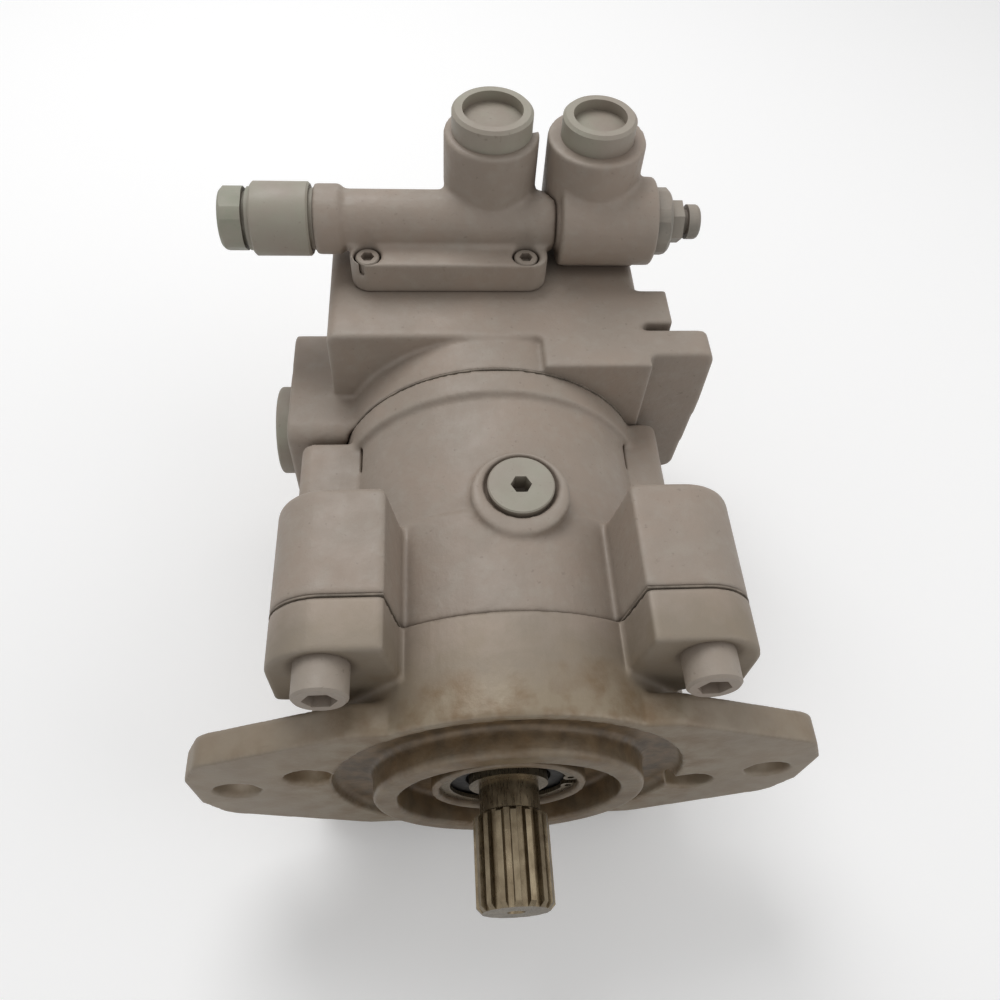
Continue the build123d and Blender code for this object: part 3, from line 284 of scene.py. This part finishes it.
FINISH = {
    "cast_paint": ("housing", "port_block", "regulator_body", "relief_body", "front_bolts",
                   "regulator_screws"),
    "cover_paint": ("front_cover",),
    "smooth_paint": ("left_port_cap", "right_port_cap", "outlet_cap", "left_collar", "case_plug"),
    "fitting_paint": ("right_bonnet", "adjusting_screw", "lock_nut"),
    "green_paint": ("left_hex_plug",),
    "oiled_steel": ("drive_shaft", "seal_snap_ring", "rear_bolts"),
    "bearing_steel": ("front_bearing_inner_race", "front_bearing_outer_race",
                      "front_bearing_rollers", "rear_bearing_sleeve", "rear_bearing_needles"),
    "hardened_steel": ("cylinder_barrel", "ball_guide", "retainer_plate", "swash_plate",
                       "control_piston", "bias_piston", "spool", "spring_seat"),
    "spring_steel": ("barrel_spring", "bias_spring", "regulator_spring"),
    "bronze": ("valve_plate", "cradle_liners"),
    "rubber": ("shaft_seal",),
    "gasket": ("cover_gasket", "block_gasket"),
}


def finish_of(node):
    """The material's name for a CAD node; pistons and slippers go by their kind."""
    if node.startswith("piston_"):
        return "hardened_steel"
    if node.startswith("slipper_"):
        return "bronze"
    return next(name for name, nodes in FINISH.items() if node in nodes)


def paint_nodes():
    """Every CAD node gets its material."""
    for name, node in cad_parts.items():
        node.data.materials.clear()
        node.data.materials.append(MATERIALS[finish_of(name)])


# ---- castings -------------------------------------------------------------------------------
CASTINGS = ("front_cover", "housing", "port_block", "regulator_body", "relief_body")
CASTING_GRID = 1.1 * MM     # size of the rebuilt faces
CASTING_ROUNDS = 5          # smoothing passes, which set how soft the cast edges are
CASTING_KEEP = 0.3          # share of the faces kept after smoothing


def soften(name):
    """Stands a copy with rounded cast edges in for a sharp-edged casting."""
    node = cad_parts[name]
    piece = bpy.data.objects.new(f"{name}_cast", node.data.copy())
    bpy.context.scene.collection.objects.link(piece)
    grid = piece.modifiers.new("grid", "REMESH")
    grid.mode = "VOXEL"
    grid.voxel_size = CASTING_GRID
    smooth = piece.modifiers.new("smooth", "SMOOTH")
    smooth.factor = 0.5
    smooth.iterations = CASTING_ROUNDS
    thin = piece.modifiers.new("thin", "DECIMATE")
    thin.ratio = CASTING_KEEP
    bpy.context.view_layer.update()
    shaped = piece.evaluated_get(bpy.context.evaluated_depsgraph_get())
    piece.data = bpy.data.meshes.new_from_object(shaped)
    piece.modifiers.clear()
    piece.data.materials.clear()
    piece.data.materials.append(MATERIALS[finish_of(name)])
    piece.data.polygons.foreach_set("use_smooth", [True] * len(piece.data.polygons))
    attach(piece, "casing")
    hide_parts(name)


# ---- floor, light and camera ----------------------------------------------------------------
FLOOR_LIFT = 0.15     # what the floor gives off towards the camera
SKY_LIGHT = 0.38      # the sky as a light; where it is seen it stays at 1


def white_ground():
    """A pale floor, lifted for the camera alone so that it looks white and keeps the shadow."""
    low, high = cad_box
    bpy.ops.mesh.primitive_plane_add(size=8, location=(0, 0, low.z - 0.2 * MM))
    floor = bpy.context.object
    floor.name = "floor"
    material = bpy.data.materials.new("floor")
    material.use_nodes = True
    shader = material.node_tree.nodes["Principled BSDF"]
    shader.inputs["Base Color"].default_value = (0.93, 0.93, 0.93, 1)
    shader.inputs["Roughness"].default_value = 0.9
    shader.inputs["Emission Color"].default_value = (1, 1, 1, 1)
    tree = material.node_tree
    path = tree.nodes.new("ShaderNodeLightPath")
    lift = tree.nodes.new("ShaderNodeMath")
    lift.operation = "MULTIPLY"
    lift.inputs[1].default_value = FLOOR_LIFT
    tree.links.new(path.outputs["Is Camera Ray"], lift.inputs[0])
    tree.links.new(lift.outputs["Value"], shader.inputs["Emission Strength"])
    floor.data.materials.append(material)


def world_light():
    """An even sky, white to the camera and in reflections and dimmer as a light."""
    world = bpy.data.worlds.new("world")
    bpy.context.scene.world = world
    world.use_nodes = True
    tree = world.node_tree
    path = tree.nodes.new("ShaderNodeLightPath")
    seen = tree.nodes.new("ShaderNodeMath")
    seen.operation = "MAXIMUM"
    tree.links.new(path.outputs["Is Camera Ray"], seen.inputs[0])
    tree.links.new(path.outputs["Is Glossy Ray"], seen.inputs[1])
    strength = tree.nodes.new("ShaderNodeMapRange")
    strength.inputs["To Min"].default_value = SKY_LIGHT
    strength.inputs["To Max"].default_value = 1.0
    tree.links.new(seen.outputs["Value"], strength.inputs["Value"])
    tree.nodes["Background"].inputs["Color"].default_value = (1, 1, 1, 1)
    tree.links.new(strength.outputs["Result"], tree.nodes["Background"].inputs["Strength"])


def lamp(name, place, target, size, watts):
    """A square soft light aimed at a point."""
    data = bpy.data.lights.new(name, "AREA")
    data.size = size
    data.energy = watts
    lamp_object = bpy.data.objects.new(name, data)
    bpy.context.scene.collection.objects.link(lamp_object)
    lamp_object.location = place
    aim = Vector(target) - Vector(place)
    lamp_object.rotation_euler = aim.to_track_quat("-Z", "Y").to_euler()


LAMP_TARGET = (0, 0.1, 0.02)
LAMPS = (                            # name, place, size and watts
    ("key", (-0.25, 0.75, 1.05), 0.7, 7.5),
    ("fill", (0.9, -0.2, 0.8), 0.9, 2.5),
    ("front", (-0.5, -0.9, 0.6), 0.8, 1),
)


def lights():
    """The key stands behind and above, the fill to the right, and a weak one in front."""
    for name, place, size, watts in LAMPS:
        lamp(name, place, LAMP_TARGET, size, watts)


CAMERA_PLACE = (-0.0264, -0.09364, 0.33347)
CAMERA_AZIMUTH = -7.83
CAMERA_ELEVATION = 56.19
CAMERA_ROLL = 5.55
FOCAL_SHARE = 0.871     # focal length over the picture's width


def camera():
    """The viewing angle of the product picture."""
    a, e, roll = radians(CAMERA_AZIMUTH), radians(CAMERA_ELEVATION), radians(CAMERA_ROLL)
    back = Vector((sin(a) * cos(e), -cos(a) * cos(e), sin(e)))
    right = (-back).cross(Vector((0, 0, 1))).normalized()
    up = right.cross(-back)
    across = right * cos(roll) + up * sin(roll)
    upward = up * cos(roll) - right * sin(roll)
    data = bpy.data.cameras.new("camera")
    data.lens = FOCAL_SHARE * data.sensor_width
    data.clip_start = 0.01
    cam = bpy.data.objects.new("camera", data)
    bpy.context.scene.collection.objects.link(cam)
    turn = Matrix((across, upward, back)).transposed().to_4x4()
    cam.matrix_world = Matrix.Translation(CAMERA_PLACE) @ turn
    bpy.context.scene.camera = cam


paint_nodes()
for casting in CASTINGS:
    soften(casting)
white_ground()
world_light()
lights()
camera()
bpy.context.scene.view_settings.view_transform = "Standard"
